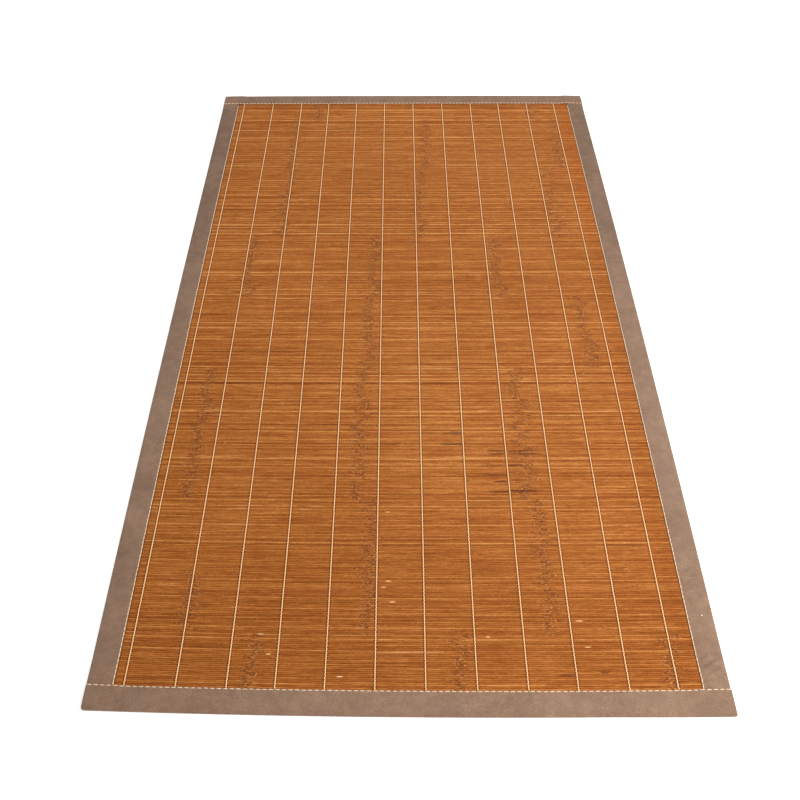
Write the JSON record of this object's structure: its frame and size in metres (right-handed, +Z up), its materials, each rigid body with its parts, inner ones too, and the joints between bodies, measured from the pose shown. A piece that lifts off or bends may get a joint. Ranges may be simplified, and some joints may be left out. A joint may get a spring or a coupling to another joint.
{
  "type": "bamboo mat",
  "caption": "Flat floor mat of bamboo strips laid side by side across it, held by cotton warp threads, with a cloth tape folded and sewn over all its edges.",
  "frame": {"origin": "on the floor under the middle of the mat's bounding box", "axes": "+Z up; +Y along the mat's length, away from the near end; +X across the mat, along the strips"},
  "size_m": [1.0064, 1.95, 0.0072],
  "materials": {
    "bamboo": "satin, split and heat-darkened bamboo",
    "thread": "twined cotton thread",
    "binding": "matt woven cotton tape"
  },
  "bodies": {
    "root": {"bamboo_panel": "bamboo", "warp_thread_01": "thread", "warp_thread_02": "thread", "warp_thread_03": "thread", "warp_thread_04": "thread", "warp_thread_05": "thread", "warp_thread_06": "thread", "warp_thread_07": "thread", "warp_thread_08": "thread", "warp_thread_09": "thread", "warp_thread_10": "thread", "warp_thread_11": "thread", "warp_thread_12": "thread", "side_binding_left": "binding", "side_binding_right": "binding", "end_binding_near": "binding", "end_binding_far": "binding"}
  },
  "joints": []
}
